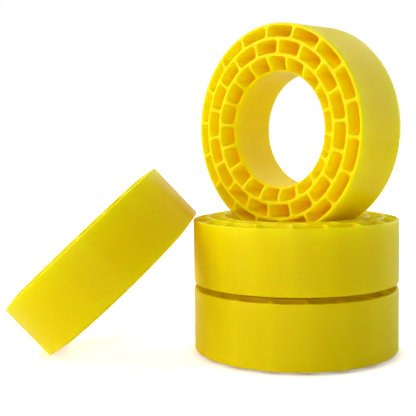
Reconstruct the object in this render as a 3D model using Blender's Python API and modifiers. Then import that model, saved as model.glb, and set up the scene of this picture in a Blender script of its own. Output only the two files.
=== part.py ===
"""Moulded silicone ring inserts: two stacked flat, one standing in the stack's bore and one leaning on it.

Each insert is one soft moulding: a plain tread skin, a plain bore skin and three rows of staggered cells
between them that run straight through from face to face. Both faces are crowned: flat over the middle row of
cells, sloping down to the tread's rim, and rounded over into the bore. Metres, +Z up. The origin is on the
floor, at the middle of the set's length and width.
"""

import math

import bmesh
import bpy

# Sizes of one insert
RING_DIAMETER = 0.105
BORE_DIAMETER = 0.0572
RING_WIDTH = 0.0347
RIM_DROP = 0.0015
BORE_DROP = 0.006
CELL_WALL = 0.0016
TREAD_SKIN = 0.0015
BORE_SKIN = 0.0009
CELL_CORNER = 0.0013
CELLS_PER_ROW = 18

# Shares of the room for cells that the outer and the inner row take. The middle row has the rest.
OUTER_ROW_SHARE = 0.295
INNER_ROW_SHARE = 0.355

# How the inserts lie
CLEARANCE = 0.0003
LEAN_ANGLE = math.radians(42.9)
STANDING_TURN = math.radians(-45.0)
STANDING_ROLL = math.radians(4.6)
LOWER_TURN = math.radians(10.6)
UPPER_TURN = math.radians(2.0)

# Fineness of the round shapes
ROUND_STEPS = 54
SHOULDER_STEPS = 3
CONTACT_STEPS = 60

# Looks
SILICONE_COLOUR = (0.83, 0.66, 0.0, 1.0)
SILICONE_ROUGHNESS = 0.35

# Sizes that follow from the ones above
TREAD_RADIUS = RING_DIAMETER / 2
BORE_RADIUS = BORE_DIAMETER / 2
CELL_ROOM = TREAD_RADIUS - TREAD_SKIN - BORE_RADIUS - BORE_SKIN - 2 * CELL_WALL
OUTER_WALL_RADIUS = TREAD_RADIUS - TREAD_SKIN - OUTER_ROW_SHARE * CELL_ROOM - CELL_WALL / 2
INNER_WALL_RADIUS = BORE_RADIUS + BORE_SKIN + INNER_ROW_SHARE * CELL_ROOM + CELL_WALL / 2
HALF_WIDTH = RING_WIDTH / 2
TREAD_HALF_WIDTH = HALF_WIDTH - RIM_DROP
CELL_PITCH = 2 * math.pi / CELLS_PER_ROW
UPPER_CENTRE = HALF_WIDTH + RING_WIDTH + CLEARANCE
STACK_TOP = UPPER_CENTRE + HALF_WIDTH


def clear_scene():
    for old in list(bpy.data.objects):
        bpy.data.objects.remove(old)


def new_collection(name):
    collection = bpy.data.collections.new(name)
    bpy.context.scene.collection.children.link(collection)
    return collection


def silicone():
    """Bright yellow silicone rubber, evenly coloured right through."""
    material = bpy.data.materials.new("yellow_silicone")
    material.use_nodes = True
    shader = material.node_tree.nodes["Principled BSDF"]
    shader.inputs["Base Color"].default_value = SILICONE_COLOUR
    shader.inputs["Roughness"].default_value = SILICONE_ROUGHNESS
    shader.inputs["Metallic"].default_value = 0.0
    material.diffuse_color = SILICONE_COLOUR
    return material


def helper(name, mesh, collection):
    """An object that shapes the inserts and isn't one of them."""
    made = bpy.data.objects.new(name, mesh)
    made.hide_render = True
    made.display_type = "WIRE"
    collection.objects.link(made)
    return made


def ring_blank(collection):
    """The insert before its cells: a crowned section, turned round the axis."""
    face = [(TREAD_RADIUS, TREAD_HALF_WIDTH), (OUTER_WALL_RADIUS, HALF_WIDTH)]
    for step in range(SHOULDER_STEPS + 1):
        angle = math.pi / 2 * step / SHOULDER_STEPS
        radius = INNER_WALL_RADIUS - (INNER_WALL_RADIUS - BORE_RADIUS) * math.sin(angle)
        face.append((radius, HALF_WIDTH - BORE_DROP * (1 - math.cos(angle))))
    section = [(radius, -height) for radius, height in face] + face[::-1]
    points = [(radius, 0.0, height) for radius, height in section]
    edges = [(i, (i + 1) % len(points)) for i in range(len(points))]
    mesh = bpy.data.meshes.new("ring_section")
    mesh.from_pydata(points, edges, [])
    blank = helper("ring_blank", mesh, collection)
    turn = blank.modifiers.new("turn", "SCREW")
    turn.axis = "Z"
    turn.angle = 2 * math.pi
    turn.steps = ROUND_STEPS
    turn.render_steps = ROUND_STEPS
    turn.use_merge_vertices = True
    turn.merge_threshold = 1e-5
    turn.use_smooth_shade = True
    return blank


def cell_outline(inner, outer, middle_angle):
    """Outline of one cell: two arcs and two straight sides, with its corners cut back by CELL_CORNER."""

    def half_span(radius):
        return CELL_PITCH / 2 - math.asin(CELL_WALL / 2 / radius)

    def arc(radius, way):
        end = half_span(radius) - CELL_CORNER / radius
        return [(radius, middle_angle + way * end * k) for k in (-1, 0, 1)]

    def side(first, last, way):
        return [(radius, middle_angle + way * half_span(radius)) for radius in (first, last)]

    low, high = inner + CELL_CORNER, outer - CELL_CORNER
    polar = arc(outer, 1) + side(high, low, 1) + arc(inner, -1) + side(low, high, -1)
    return [(radius * math.cos(angle), radius * math.sin(angle)) for radius, angle in polar]


def cell_cutter(collection):
    """All the cells of an insert as prisms, longer than it is wide. The middle row is half a cell round."""
    rows = [
        (OUTER_WALL_RADIUS + CELL_WALL / 2, TREAD_RADIUS - TREAD_SKIN, 0.5),
        (INNER_WALL_RADIUS + CELL_WALL / 2, OUTER_WALL_RADIUS - CELL_WALL / 2, 0.0),
        (BORE_RADIUS + BORE_SKIN, INNER_WALL_RADIUS - CELL_WALL / 2, 0.5),
    ]
    shapes = bmesh.new()
    for inner, outer, stagger in rows:
        for cell in range(CELLS_PER_ROW):
            outline = cell_outline(inner, outer, CELL_PITCH * (cell + stagger))
            corners = [shapes.verts.new((x, y, -RING_WIDTH)) for x, y in outline]
            floor = shapes.faces.new(corners)
            raised = bmesh.ops.extrude_face_region(shapes, geom=[floor])["geom"]
            lifted = [item for item in raised if isinstance(item, bmesh.types.BMVert)]
            bmesh.ops.translate(shapes, verts=lifted, vec=(0.0, 0.0, 2 * RING_WIDTH))
    bmesh.ops.recalc_face_normals(shapes, faces=shapes.faces)
    mesh = bpy.data.meshes.new("cell_prisms")
    shapes.to_mesh(mesh)
    shapes.free()
    return helper("cell_cutter", mesh, collection)


def ring_mesh(collection):
    """One insert with its cells cut, as a mesh that the four inserts share."""
    blank = ring_blank(collection)
    cells = blank.modifiers.new("cells", "BOOLEAN")
    cells.operation = "DIFFERENCE"
    cells.solver = "EXACT"
    cells.object = cell_cutter(collection)
    bpy.context.view_layer.update()
    graph = bpy.context.evaluated_depsgraph_get()
    mesh = bpy.data.meshes.new_from_object(blank.evaluated_get(graph), depsgraph=graph)
    mesh.name = "ring_insert"
    mesh.shade_smooth()
    mesh.set_sharp_from_angle(angle=math.radians(30))
    return mesh


def face_drop(radius):
    """How far an insert's face lies below its crown: a slope outside, a quarter of an ellipse inside."""
    if radius > OUTER_WALL_RADIUS:
        return RIM_DROP * (radius - OUTER_WALL_RADIUS) / (TREAD_RADIUS - OUTER_WALL_RADIUS)
    if radius < INNER_WALL_RADIUS:
        share = (INNER_WALL_RADIUS - radius) / (INNER_WALL_RADIUS - BORE_RADIUS)
        return BORE_DROP * (1 - math.sqrt(max(0.0, 1 - share**2)))
    return 0.0


def standing_height():
    """Height of the standing insert's centre: the edges of its tread rest in the upper one's dished bore."""
    reach = TREAD_RADIUS + CLEARANCE
    heights = []
    for step in range(CONTACT_STEPS + 1):
        radius = BORE_RADIUS + (OUTER_WALL_RADIUS - BORE_RADIUS) * step / CONTACT_STEPS
        across = math.sqrt(max(0.0, radius**2 - TREAD_HALF_WIDTH**2))
        heights.append(STACK_TOP - face_drop(radius) + math.sqrt(reach**2 - across**2))
    return max(heights)


def crossing(outline, height):
    """How far along X an outline, listed upwards, crosses a height. None if it doesn't reach it."""
    for (x0, z0), (x1, z1) in zip(outline, outline[1:]):
        if z0 <= height <= z1 and z1 > z0:
            return x0 + (x1 - x0) * (height - z0) / (z1 - z0)
    return None


def leaning_centre():
    """The leaning insert's centre from the stack's axis: its foot on the floor, its face on the upper rim."""
    along, up = math.cos(LEAN_ANGLE), math.sin(LEAN_ANGLE)
    rise = TREAD_RADIUS * up + TREAD_HALF_WIDTH * along
    face = [
        (-TREAD_RADIUS, TREAD_HALF_WIDTH),
        (-OUTER_WALL_RADIUS, HALF_WIDTH),
        (OUTER_WALL_RADIUS, HALF_WIDTH),
        (TREAD_RADIUS, TREAD_HALF_WIDTH),
    ]
    leaning = [(s * along + depth * up, rise + s * up - depth * along) for s, depth in face]
    stack = [
        (-TREAD_RADIUS, RIM_DROP),
        (-TREAD_RADIUS, STACK_TOP - RIM_DROP),
        (-OUTER_WALL_RADIUS, STACK_TOP),
    ]
    gaps = []
    for _, height in leaning + stack:
        near, far = crossing(leaning, height), crossing(stack, height)
        if near is not None and far is not None:
            gaps.append(far - near)
    return min(gaps) - CLEARANCE / up, rise


def place(name, mesh, collection, location, rotation):
    ring = bpy.data.objects.new(name, mesh)
    ring.location = location
    ring.rotation_euler = rotation
    collection.objects.link(ring)


def build():
    clear_scene()
    rings = new_collection("ring_insert_set")
    cutters = new_collection("cutters")
    mesh = ring_mesh(cutters)
    mesh.materials.clear()
    mesh.materials.append(silicone())

    lean_x, lean_z = leaning_centre()
    lean_reach = TREAD_RADIUS * math.cos(LEAN_ANGLE) + TREAD_HALF_WIDTH * math.sin(LEAN_ANGLE)
    stack_x = -(TREAD_RADIUS + lean_x - lean_reach) / 2
    upright = math.pi / 2

    place("lower_ring", mesh, rings, (stack_x, 0.0, HALF_WIDTH), (0.0, 0.0, LOWER_TURN))
    place("upper_ring", mesh, rings, (stack_x, 0.0, UPPER_CENTRE), (0.0, 0.0, UPPER_TURN))
    standing_at = (stack_x, 0.0, standing_height())
    place("standing_ring", mesh, rings, standing_at, (upright, STANDING_ROLL, STANDING_TURN))
    place("leaning_ring", mesh, rings, (stack_x + lean_x, 0.0, lean_z), (0.0, -LEAN_ANGLE, 0.0))


build()
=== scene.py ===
"""Looks of a set of four moulded silicone ring inserts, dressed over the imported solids. Metres, +Z up."""

import math

import bmesh
import bpy
import numpy as np
from mathutils import Euler, Matrix, Vector
from mathutils.geometry import delaunay_2d_cdt


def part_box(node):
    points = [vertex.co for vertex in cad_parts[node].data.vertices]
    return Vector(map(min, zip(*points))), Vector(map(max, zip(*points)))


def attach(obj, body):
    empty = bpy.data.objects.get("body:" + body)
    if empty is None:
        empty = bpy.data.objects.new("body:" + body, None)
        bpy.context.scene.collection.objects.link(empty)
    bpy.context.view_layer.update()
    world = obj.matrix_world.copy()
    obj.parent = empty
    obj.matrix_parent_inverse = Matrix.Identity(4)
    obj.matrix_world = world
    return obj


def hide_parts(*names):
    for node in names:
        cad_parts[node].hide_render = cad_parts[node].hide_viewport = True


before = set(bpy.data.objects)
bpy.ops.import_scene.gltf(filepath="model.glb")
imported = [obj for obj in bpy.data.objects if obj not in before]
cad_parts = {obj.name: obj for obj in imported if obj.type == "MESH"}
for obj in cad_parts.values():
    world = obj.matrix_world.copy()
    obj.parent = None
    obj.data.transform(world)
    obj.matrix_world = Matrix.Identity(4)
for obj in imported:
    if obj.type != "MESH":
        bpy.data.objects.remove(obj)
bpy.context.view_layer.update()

# Lower ring
# A soft insert moulded in one shot from yellow silicone rubber: a tread skin, a bore skin and three rows of
# staggered cells between them, open at both faces. It lies flat on the floor and carries the other rings.

lower_low, lower_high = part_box("lower_ring")
lower_axis = (lower_low + lower_high) / 2
lower_points = [v.co - lower_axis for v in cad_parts["lower_ring"].data.vertices]
reach = [math.hypot(point.x, point.y) for point in lower_points]
half_width = (lower_high.z - lower_low.z) / 2

# The dressed ring stays this far inside the skins of its solid.
skin_relief = 0.00005
tread_radius = max(reach) - skin_relief
bore_radius = min(reach) + skin_relief

rim_drop = 0.0015
bore_drop = 0.006
cell_wall = 0.0016
tread_skin = 0.0015
bore_skin = 0.0009
cell_corner = 0.0016
cells_per_row = 18
cell_pitch = 2 * math.pi / cells_per_row

# The outer and the inner row take these shares of the room for cells, and the middle row has the rest.
outer_row_share = 0.295
inner_row_share = 0.355
cell_room = tread_radius - tread_skin - bore_radius - bore_skin - 2 * cell_wall
outer_wall_radius = tread_radius - tread_skin - outer_row_share * cell_room - cell_wall / 2
inner_wall_radius = bore_radius + bore_skin + inner_row_share * cell_room + cell_wall / 2

mouth_round = 0.0004
rim_round = 0.0006
bore_lip = 0.0004
mould_draft = 0.00012

inner_arc_steps = 8
outer_arc_steps = 10
corner_steps = 4
side_steps = 6
mouth_steps = 4
depth_steps = 3
round_steps = 12 * cells_per_row
lip_steps = 6
tread_steps = 5

# Points nearer than this are one point.
same_place = 1e-7


def face_height(radius):
    """Height of the ring's face above its mid-plane: a slope to the tread, a rounded shoulder to the bore."""
    slope = np.clip((radius - outer_wall_radius) / (tread_radius - outer_wall_radius), 0.0, 1.0)
    share = np.clip((inner_wall_radius - radius) / (inner_wall_radius - bore_radius), 0.0, 1.0)
    return half_width - rim_drop * slope - bore_drop * (1 - np.sqrt(1 - share**2))


def cell_outline(inner, outer, grow):
    """One cell's outline round the X axis, grown by a distance on every side, with round corners."""
    low, high = inner - grow, outer + grow
    corner = cell_corner + grow
    gap = cell_wall / 2 - grow + corner
    half = cell_pitch / 2
    inner_turn = half - math.asin(gap / (low + corner))
    outer_turn = half - math.asin(gap / (high - corner))

    def around(radius, first, last, steps, centre=(0.0, 0.0)):
        turn = np.linspace(first, last, steps, endpoint=False)
        return np.stack([centre[0] + radius * np.cos(turn), centre[1] + radius * np.sin(turn)], 1)

    def corner_centre(radius, turn):
        return radius * math.cos(turn), radius * math.sin(turn)

    square = half + math.pi / 2
    inner_centre = corner_centre(low + corner, inner_turn)
    outer_centre = corner_centre(high - corner, outer_turn)
    side_start = np.array(inner_centre) + corner * np.array([math.cos(square), math.sin(square)])
    side_end = np.array(outer_centre) + corner * np.array([math.cos(square), math.sin(square)])
    along = np.linspace(0.0, 1.0, side_steps, endpoint=False)[:, None]
    half_outline = np.concatenate([
        around(low, 0.0, inner_turn, inner_arc_steps // 2),
        around(corner, inner_turn + math.pi, square, corner_steps, inner_centre),
        side_start + along * (side_end - side_start),
        around(corner, square, outer_turn, corner_steps, outer_centre),
        around(high, outer_turn, 0.0, outer_arc_steps // 2),
        [[high, 0.0]],
    ])
    return np.concatenate([half_outline, half_outline[-2:0:-1] * [1.0, -1.0]])


def turned(points, angle):
    """Flat points turned round the ring's axis."""
    c, s = math.cos(angle), math.sin(angle)
    return points @ np.array([[c, s], [-s, c]])


class HalfRing:
    """Points and faces of one half of a ring, from its face down to its mid-plane."""

    def __init__(self):
        self.points = []
        self.faces = []

    def add_loop(self, flat, height):
        """Adds a closed loop of points and returns where it starts."""
        start = len(self.points)
        self.points += [(x, y, z) for (x, y), z in zip(flat, np.broadcast_to(height, len(flat)))]
        return start

    def join(self, upper, lower, count):
        """Joins two loops of the same count by four-sided faces."""
        for i in range(count):
            j = (i + 1) % count
            self.faces.append((upper + i, upper + j, lower + j, lower + i))

    def add_stack(self, loops):
        """Adds loops one below the other, joined. Returns the first one's start and flat points."""
        starts = [self.add_loop(flat, height) for flat, height in loops]
        for upper, lower in zip(starts, starts[1:]):
            self.join(upper, lower, len(loops[0][0]))
        return starts[0], loops[0][0]


def cell_loops(inner, outer, angle):
    """A cell's wall from its rounded mouth to the mid-plane, drawn in slightly as the mould needs."""
    loops = []
    for step in range(mouth_steps + 1):
        bend = math.pi / 2 * step / mouth_steps
        flat = turned(cell_outline(inner, outer, mouth_round * (1 - math.sin(bend))), angle)
        sunk = mouth_round * (1 - math.cos(bend))
        loops.append((flat, face_height(np.hypot(*flat.T)) - sunk))
    mouth_height = loops[-1][1]
    for step in range(1, depth_steps + 1):
        share = step / depth_steps
        flat = turned(cell_outline(inner, outer, -mould_draft * share), angle)
        loops.append((flat, mouth_height * (1 - share)))
    return loops


def circle(radius):
    """A circle of points round the axis."""
    turn = np.arange(round_steps) * 2 * math.pi / round_steps
    return np.stack([radius * np.cos(turn), radius * np.sin(turn)], 1)


def tread_loops():
    """The tread from its rounded rim to the mid-plane."""
    rim_height = float(face_height(tread_radius - rim_round))
    loops = []
    for step in range(mouth_steps + 1):
        bend = math.pi / 2 * step / mouth_steps
        radius = tread_radius - rim_round * (1 - math.sin(bend))
        loops.append((circle(radius), rim_height - rim_round * (1 - math.cos(bend))))
    edge_height = rim_height - rim_round
    for step in range(1, tread_steps + 1):
        loops.append((circle(tread_radius), edge_height * (1 - step / tread_steps)))
    return loops


def bore_loops():
    """The bore from its rounded shoulder to the mid-plane."""
    shoulder = inner_wall_radius - bore_radius
    first = math.asin((shoulder - bore_lip) / shoulder)
    loops = []
    for step in range(lip_steps + 1):
        bend = first + (math.pi / 2 - first) * step / lip_steps
        radius = inner_wall_radius - shoulder * math.sin(bend)
        loops.append((circle(radius), half_width - bore_drop * (1 - math.cos(bend))))
    edge_height = half_width - bore_drop
    for step in range(1, depth_steps + 1):
        loops.append((circle(bore_radius), edge_height * (1 - step / depth_steps)))
    return loops


def fill_face(half, openings, rim, lip):
    """Fills the ring's face between the cells' mouths, the tread's rim and the bore's lip."""
    flat, owner, place, edges = [], [], [], []
    for number, (start, points) in enumerate(openings + [rim, lip]):
        first = len(flat)
        count = len(points)
        flat += [Vector(p) for p in points]
        owner += [number] * count
        place += range(start, start + count)
        edges += [(first + i, first + (i + 1) % count) for i in range(count)]
    inner_edge = [min(np.hypot(*points.T)) for _, points in openings]
    lip_number = len(openings) + 1
    inside_only = 1
    corners, _, triangles, origins, _, _ = delaunay_2d_cdt(flat, edges, [], inside_only, same_place)
    for triangle in triangles:
        sources = [origins[i][0] for i in triangle]
        owners = {owner[i] for i in sources}
        if len(owners) == 1:
            number = owners.pop()
            middle = sum((corners[i] for i in triangle), Vector((0.0, 0.0))) / 3
            if number == lip_number or (number < len(openings) and middle.length > inner_edge[number]):
                continue
        half.faces.append(tuple(place[i] for i in sources))


def ring_mesh():
    """The whole ring: one half, and its mirror image joined to it at the mid-plane."""
    rows = [
        (outer_wall_radius + cell_wall / 2, tread_radius - tread_skin, 0.5),
        (inner_wall_radius + cell_wall / 2, outer_wall_radius - cell_wall / 2, 0.0),
        (bore_radius + bore_skin, inner_wall_radius - cell_wall / 2, 0.5),
    ]
    half = HalfRing()
    openings = []
    for inner, outer, stagger in rows:
        for cell in range(cells_per_row):
            openings.append(half.add_stack(cell_loops(inner, outer, cell_pitch * (cell + stagger))))
    rim = half.add_stack(tread_loops())
    lip = half.add_stack(bore_loops())
    fill_face(half, openings, rim, lip)

    shape = bmesh.new()
    for points in (half.points, [(x, y, -z) for x, y, z in half.points]):
        corners = [shape.verts.new(p) for p in points]
        for face in half.faces:
            shape.faces.new([corners[i] for i in face])
    seam = [v for v in shape.verts if abs(v.co.z) < same_place]
    bmesh.ops.remove_doubles(shape, verts=seam, dist=same_place)
    bmesh.ops.recalc_face_normals(shape, faces=shape.faces)
    mesh = bpy.data.meshes.new("ring")
    shape.to_mesh(mesh)
    shape.free()
    mesh.shade_smooth()
    return mesh


deep_yellow = (0.99, 0.775, 0.0, 1.0)
bright_yellow = (0.996, 0.795, 0.0, 1.0)
mottle_per_metre = 60.0
mottle_detail = 3.0
satin_roughness = (0.32, 0.48)
satin_per_metre = 180.0
satin_detail = 4.0
grain_per_metre = 2500.0
grain_detail = 2.0
grain_strength = 0.12
grain_height = 0.00005
silicone_refraction = 1.41
surface_shine = 0.12

# How far light wanders in the rubber, and the share of that for red, green and blue
light_travel = 0.007
light_travel_by_colour = (0.55, 1.0, 0.03)


def silicone_material():
    """Yellow silicone rubber: light wanders in it, its skin is satin, faintly mottled and finely grained."""
    material = bpy.data.materials.new("yellow_silicone")
    material.use_nodes = True
    nodes, links = material.node_tree.nodes, material.node_tree.links
    shader = nodes["Principled BSDF"]
    shader.inputs["IOR"].default_value = silicone_refraction
    shader.inputs["Specular IOR Level"].default_value = surface_shine
    shader.inputs["Subsurface Weight"].default_value = 1.0
    shader.inputs["Subsurface Radius"].default_value = light_travel_by_colour
    shader.inputs["Subsurface Scale"].default_value = light_travel
    place = nodes.new("ShaderNodeTexCoord")

    def noise(per_metre, detail):
        """A cloudy pattern fixed to the ring."""
        made = nodes.new("ShaderNodeTexNoise")
        made.inputs["Scale"].default_value = per_metre
        made.inputs["Detail"].default_value = detail
        links.new(place.outputs["Object"], made.inputs["Vector"])
        return made.outputs["Fac"]

    tint = nodes.new("ShaderNodeMix")
    tint.data_type = "RGBA"
    tint.inputs["A"].default_value = deep_yellow
    tint.inputs["B"].default_value = bright_yellow
    links.new(noise(mottle_per_metre, mottle_detail), tint.inputs["Factor"])
    links.new(tint.outputs["Result"], shader.inputs["Base Color"])

    satin = nodes.new("ShaderNodeMapRange")
    satin.inputs["To Min"].default_value, satin.inputs["To Max"].default_value = satin_roughness
    links.new(noise(satin_per_metre, satin_detail), satin.inputs["Value"])
    links.new(satin.outputs["Result"], shader.inputs["Roughness"])

    grain = nodes.new("ShaderNodeBump")
    grain.inputs["Strength"].default_value = grain_strength
    grain.inputs["Distance"].default_value = grain_height
    links.new(noise(grain_per_metre, grain_detail), grain.inputs["Height"])
    links.new(grain.outputs["Normal"], shader.inputs["Normal"])
    return material


moulded_ring = ring_mesh()
moulded_ring.materials.append(silicone_material())


def place_ring(node, name, rotation):
    """Sets a ring where its solid is and lets it ride on that solid's body."""
    low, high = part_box(node)
    mesh = moulded_ring.copy()
    mesh.transform(Matrix.Translation((low + high) / 2) @ Euler(rotation).to_matrix().to_4x4())
    ring = bpy.data.objects.new(name, mesh)
    bpy.context.scene.collection.objects.link(ring)
    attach(ring, node)
    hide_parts(node)


lower_turn = math.radians(10.6)
place_ring("lower_ring", "lower_ring_silicone", (0.0, 0.0, lower_turn))

# Upper ring
# A second insert from the same mould, silicone like the first. It is stacked on the lower ring, crown on
# crown, turned a little, and lifts straight off.

upper_turn = math.radians(2.0)
place_ring("upper_ring", "upper_ring_silicone", (0.0, 0.0, upper_turn))

# Standing ring
# A third silicone insert from the mould, set on edge so that its cells show. The edges of its tread sink into
# the upper ring's dished bore, which holds it upright without any fixing.

standing_turn = math.radians(-45.0)
standing_roll = math.radians(4.6)
upright = math.pi / 2
place_ring("standing_ring", "standing_ring_silicone", (upright, standing_roll, standing_turn))

# Leaning ring
# A fourth silicone insert from the mould, leaning on the stack: its foot is on the floor and its face rests
# on the upper ring's rim. It lifts away square to its own face.

lean_angle = math.radians(42.9)
place_ring("leaning_ring", "leaning_ring_silicone", (0.0, -lean_angle, 0.0))

# Floor
# A plain white studio floor, wide enough to have no edge in view. The camera sees it lifted to white, except
# close
# # to the rings, where an ambient-occlusion mask fades the lift out: painted contact shade over the rings'
# real shadow.

floor_half = 12.0
floor_white = (0.92, 0.92, 0.92, 1.0)
floor_lift = (0.65, 0.65, 0.65, 1.0)
painted_shade_reach = 0.006
floor_mesh = bpy.data.meshes.new("floor")
floor_corners = [(x * floor_half, y * floor_half, 0.0) for x, y in ((-1, -1), (1, -1), (1, 1), (-1, 1))]
floor_mesh.from_pydata(floor_corners, [], [(0, 1, 2, 3)])
floor = bpy.data.objects.new("floor", floor_mesh)
bpy.context.scene.collection.objects.link(floor)

floor_material = bpy.data.materials.new("studio_floor")
floor_material.use_nodes = True
floor_nodes, floor_links = floor_material.node_tree.nodes, floor_material.node_tree.links
floor_nodes.remove(floor_nodes["Principled BSDF"])
paint = floor_nodes.new("ShaderNodeBsdfDiffuse")
paint.inputs["Color"].default_value = floor_white
sight = floor_nodes.new("ShaderNodeLightPath")
# Painted shade: ambient occlusion darkens the camera's white lift within a few millimetres of the rings.
lift_with_painted_shade = floor_nodes.new("ShaderNodeAmbientOcclusion")
lift_with_painted_shade.inputs["Color"].default_value = floor_lift
lift_with_painted_shade.inputs["Distance"].default_value = painted_shade_reach
glow = floor_nodes.new("ShaderNodeEmission")
both = floor_nodes.new("ShaderNodeAddShader")
floor_links.new(lift_with_painted_shade.outputs["Color"], glow.inputs["Color"])
floor_links.new(sight.outputs["Is Camera Ray"], glow.inputs["Strength"])
floor_links.new(paint.outputs["BSDF"], both.inputs[0])
floor_links.new(glow.outputs["Emission"], both.inputs[1])
floor_links.new(both.outputs["Shader"], floor_nodes["Material Output"].inputs["Surface"])
floor_mesh.materials.append(floor_material)

# Light
# A white room that mirrors dark behind the camera and dim at its ceiling. A broad soft light comes from the
# left, weaker ones from the front, the top and the right, and one from behind that shines through the cells.

room_level = 0.08
room_white = (1.0, 1.0, 1.0, 1.0)

# Between these two parts of a ray's way to the back, what the rings mirror goes from black to white.
mirror_black = -0.9
mirror_white = 0.2

# Up to this part of a ray's way upward, what the rings mirror fades to the ceiling's level.
ceiling_start = 0.6
ceiling_level = 0.3

room = bpy.data.worlds.new("white_room")
bpy.context.scene.world = room
room.use_nodes = True
room_nodes, room_links = room.node_tree.nodes, room.node_tree.links
sky = room_nodes["Background"]
sky.inputs["Color"].default_value = room_white
rays = room_nodes.new("ShaderNodeLightPath")
way = room_nodes.new("ShaderNodeTexCoord")
split = room_nodes.new("ShaderNodeSeparateXYZ")
shine = room_nodes.new("ShaderNodeMapRange")
shine.inputs["From Min"].default_value = mirror_black
shine.inputs["From Max"].default_value = mirror_white
ceiling = room_nodes.new("ShaderNodeMapRange")
ceiling.inputs["From Min"].default_value = 0.0
ceiling.inputs["From Max"].default_value = ceiling_start
ceiling.inputs["To Min"].default_value = 1.0
ceiling.inputs["To Max"].default_value = ceiling_level
shine_below_ceiling = room_nodes.new("ShaderNodeMath")
shine_below_ceiling.operation = "MULTIPLY"
glossy = room_nodes.new("ShaderNodeMix")
glossy.inputs["A"].default_value = room_level
seen = room_nodes.new("ShaderNodeMix")
seen.inputs["B"].default_value = 1.0
room_links.new(way.outputs["Generated"], split.inputs["Vector"])
room_links.new(split.outputs["Y"], shine.inputs["Value"])
room_links.new(rays.outputs["Is Glossy Ray"], glossy.inputs["Factor"])
room_links.new(split.outputs["Z"], ceiling.inputs["Value"])
room_links.new(shine.outputs["Result"], shine_below_ceiling.inputs[0])
room_links.new(ceiling.outputs["Result"], shine_below_ceiling.inputs[1])
room_links.new(shine_below_ceiling.outputs["Value"], glossy.inputs["B"])
room_links.new(rays.outputs["Is Camera Ray"], seen.inputs["Factor"])
room_links.new(glossy.outputs["Result"], seen.inputs["A"])
room_links.new(seen.outputs["Result"], sky.inputs["Strength"])


def soft_light(name, strength, spread, toward):
    """A far, broad lamp, given by the direction that its light comes from."""
    lamp = bpy.data.lights.new(name, "SUN")
    lamp.energy = strength
    lamp.angle = math.radians(spread)
    holder = bpy.data.objects.new(name, lamp)
    holder.rotation_euler = Vector(toward).to_track_quat("Z", "Y").to_euler()
    bpy.context.scene.collection.objects.link(holder)


soft_light("left_light", strength=2.45, spread=60.0, toward=(-0.88, -0.22, 0.50))
soft_light("front_light", strength=0.5, spread=35.0, toward=(-0.2, -1.0, 0.15))
soft_light("top_light", strength=0.95, spread=60.0, toward=(0.0, 0.6, 1.0))
soft_light("right_light", strength=0.45, spread=80.0, toward=(0.95, -0.1, 0.2))
soft_light("back_light", strength=1.2, spread=50.0, toward=(0.68, 0.70, 0.22))

# Light has to turn many times in the deep cells before it leaves them.
light_turns = 12
bpy.context.scene.cycles.diffuse_bounces = light_turns
bpy.context.scene.cycles.max_bounces = light_turns

# Camera
# It looks almost level at the set, a little down, from its front.

image_width = 416
focal_pixels = 856.0
camera_place = Vector((0.003395, -0.43891, 0.11232))
camera_pitch = math.radians(5.011)
camera_roll = math.radians(-0.701)
camera = bpy.data.cameras.new("camera")
camera.sensor_width = 36.0
camera.lens = camera.sensor_width * focal_pixels / image_width
camera.clip_start = 0.01
viewer = bpy.data.objects.new("camera", camera)
aim = Matrix.Rotation(math.pi / 2 - camera_pitch, 4, "X") @ Matrix.Rotation(camera_roll, 4, "Z")
viewer.matrix_world = Matrix.Translation(camera_place) @ aim
bpy.context.scene.collection.objects.link(viewer)
bpy.context.scene.camera = viewer
bpy.context.scene.view_settings.view_transform = "Standard"
